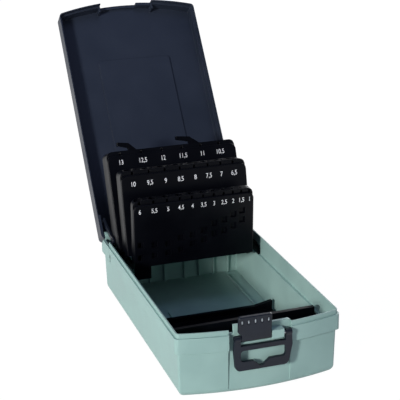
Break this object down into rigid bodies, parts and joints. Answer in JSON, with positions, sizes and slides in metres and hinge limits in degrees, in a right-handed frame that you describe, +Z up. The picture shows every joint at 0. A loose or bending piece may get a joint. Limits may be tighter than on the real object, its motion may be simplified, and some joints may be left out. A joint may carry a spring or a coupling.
{
  "type": "drill bit case",
  "caption": "Plastic drill bit case with a hinged lid, front latch and bail handle; its drill holders share an axle and fan out as the lid opens",
  "frame": {"origin": "centre of the tray's flat underside: X = 0 at the middle of the width, Y = 0 at the middle of the straight sides, Z = 0 on the surface it rests on", "axes": "+Y to the rear, where the lid hinges; +X to the right seen from the front; +Z up; the lid stands open, as the case is used"},
  "size_m": [0.11, 0.3185, 0.194],
  "materials": {
    "tray_plastic": "fine textured light grey-green polypropylene",
    "lid_plastic": "fine textured anthracite polypropylene",
    "holder_plastic": "moulded black plastic, slight sheen",
    "latch_plastic": "moulded dark grey plastic",
    "bright_steel": "drawn steel wire"
  },
  "bodies": {
    "case": {"tray": "tray_plastic", "hinge_pin_left": "bright_steel", "hinge_pin_right": "bright_steel", "holder_axle": "bright_steel", "axle_bracket_left": "holder_plastic", "axle_bracket_right": "holder_plastic", "tip_rest": "holder_plastic", "front_pin": "bright_steel"},
    "lid_body": {"lid": "lid_plastic"},
    "rear_row": {"rear_holder": "holder_plastic", "rear_number_plate": "holder_plastic"},
    "middle_row": {"middle_holder": "holder_plastic", "middle_number_plate": "holder_plastic"},
    "front_row": {"front_holder": "holder_plastic", "front_number_plate": "holder_plastic"},
    "link_left": {"lift_link_left": "latch_plastic"},
    "link_right": {"lift_link_right": "latch_plastic"},
    "latch_body": {"latch": "latch_plastic"},
    "handle_body": {"carry_handle": "latch_plastic"}
  },
  "joints": [
    {"name": "lid_hinge", "type": "hinge", "parent": "case", "child": "lid_body", "pos_m": [0, 0.0906, 0.04235], "axis": [1, 0, 0], "range_deg": [0, 127]},
    {"name": "rear_row_fold", "type": "hinge", "parent": "case", "child": "rear_row", "pos_m": [0, 0.0666, 0.034], "axis": [1, 0, 0], "range_deg": [0, 112]},
    {"name": "middle_row_fold", "type": "hinge", "parent": "case", "child": "middle_row", "pos_m": [0, 0.0666, 0.034], "axis": [1, 0, 0], "range_deg": [0, 102]},
    {"name": "front_row_fold", "type": "hinge", "parent": "case", "child": "front_row", "pos_m": [0, 0.0666, 0.034], "axis": [1, 0, 0], "range_deg": [0, 88]},
    {"name": "link_left_pivot", "type": "hinge", "parent": "lid_body", "child": "link_left", "pos_m": [-0.0502, 0.09978, 0.05089], "axis": [1, 0, 0], "range_deg": [-127, 0]},
    {"name": "link_right_pivot", "type": "hinge", "parent": "lid_body", "child": "link_right", "pos_m": [0.0502, 0.09978, 0.05089], "axis": [1, 0, 0], "range_deg": [-127, 0]},
    {"name": "latch_swing", "type": "hinge", "parent": "case", "child": "latch_body", "pos_m": [-0.0055, -0.1006, 0.0392], "axis": [1, 0, 0], "range_deg": [-5, 30]},
    {"name": "handle_swing", "type": "hinge", "parent": "case", "child": "handle_body", "pos_m": [0, -0.1006, 0.0392], "axis": [-1, 0, 0], "range_deg": [0, 90]}
  ],
  "couplings": [
    {"joint": "rear_row_fold", "follows": "lid_hinge", "ratio": 0.88189},
    {"joint": "middle_row_fold", "follows": "lid_hinge", "ratio": 0.80315},
    {"joint": "front_row_fold", "follows": "lid_hinge", "ratio": 0.69291},
    {"joint": "link_left_pivot", "follows": "lid_hinge", "ratio": -1},
    {"joint": "link_right_pivot", "follows": "lid_hinge", "ratio": -1}
  ]
}
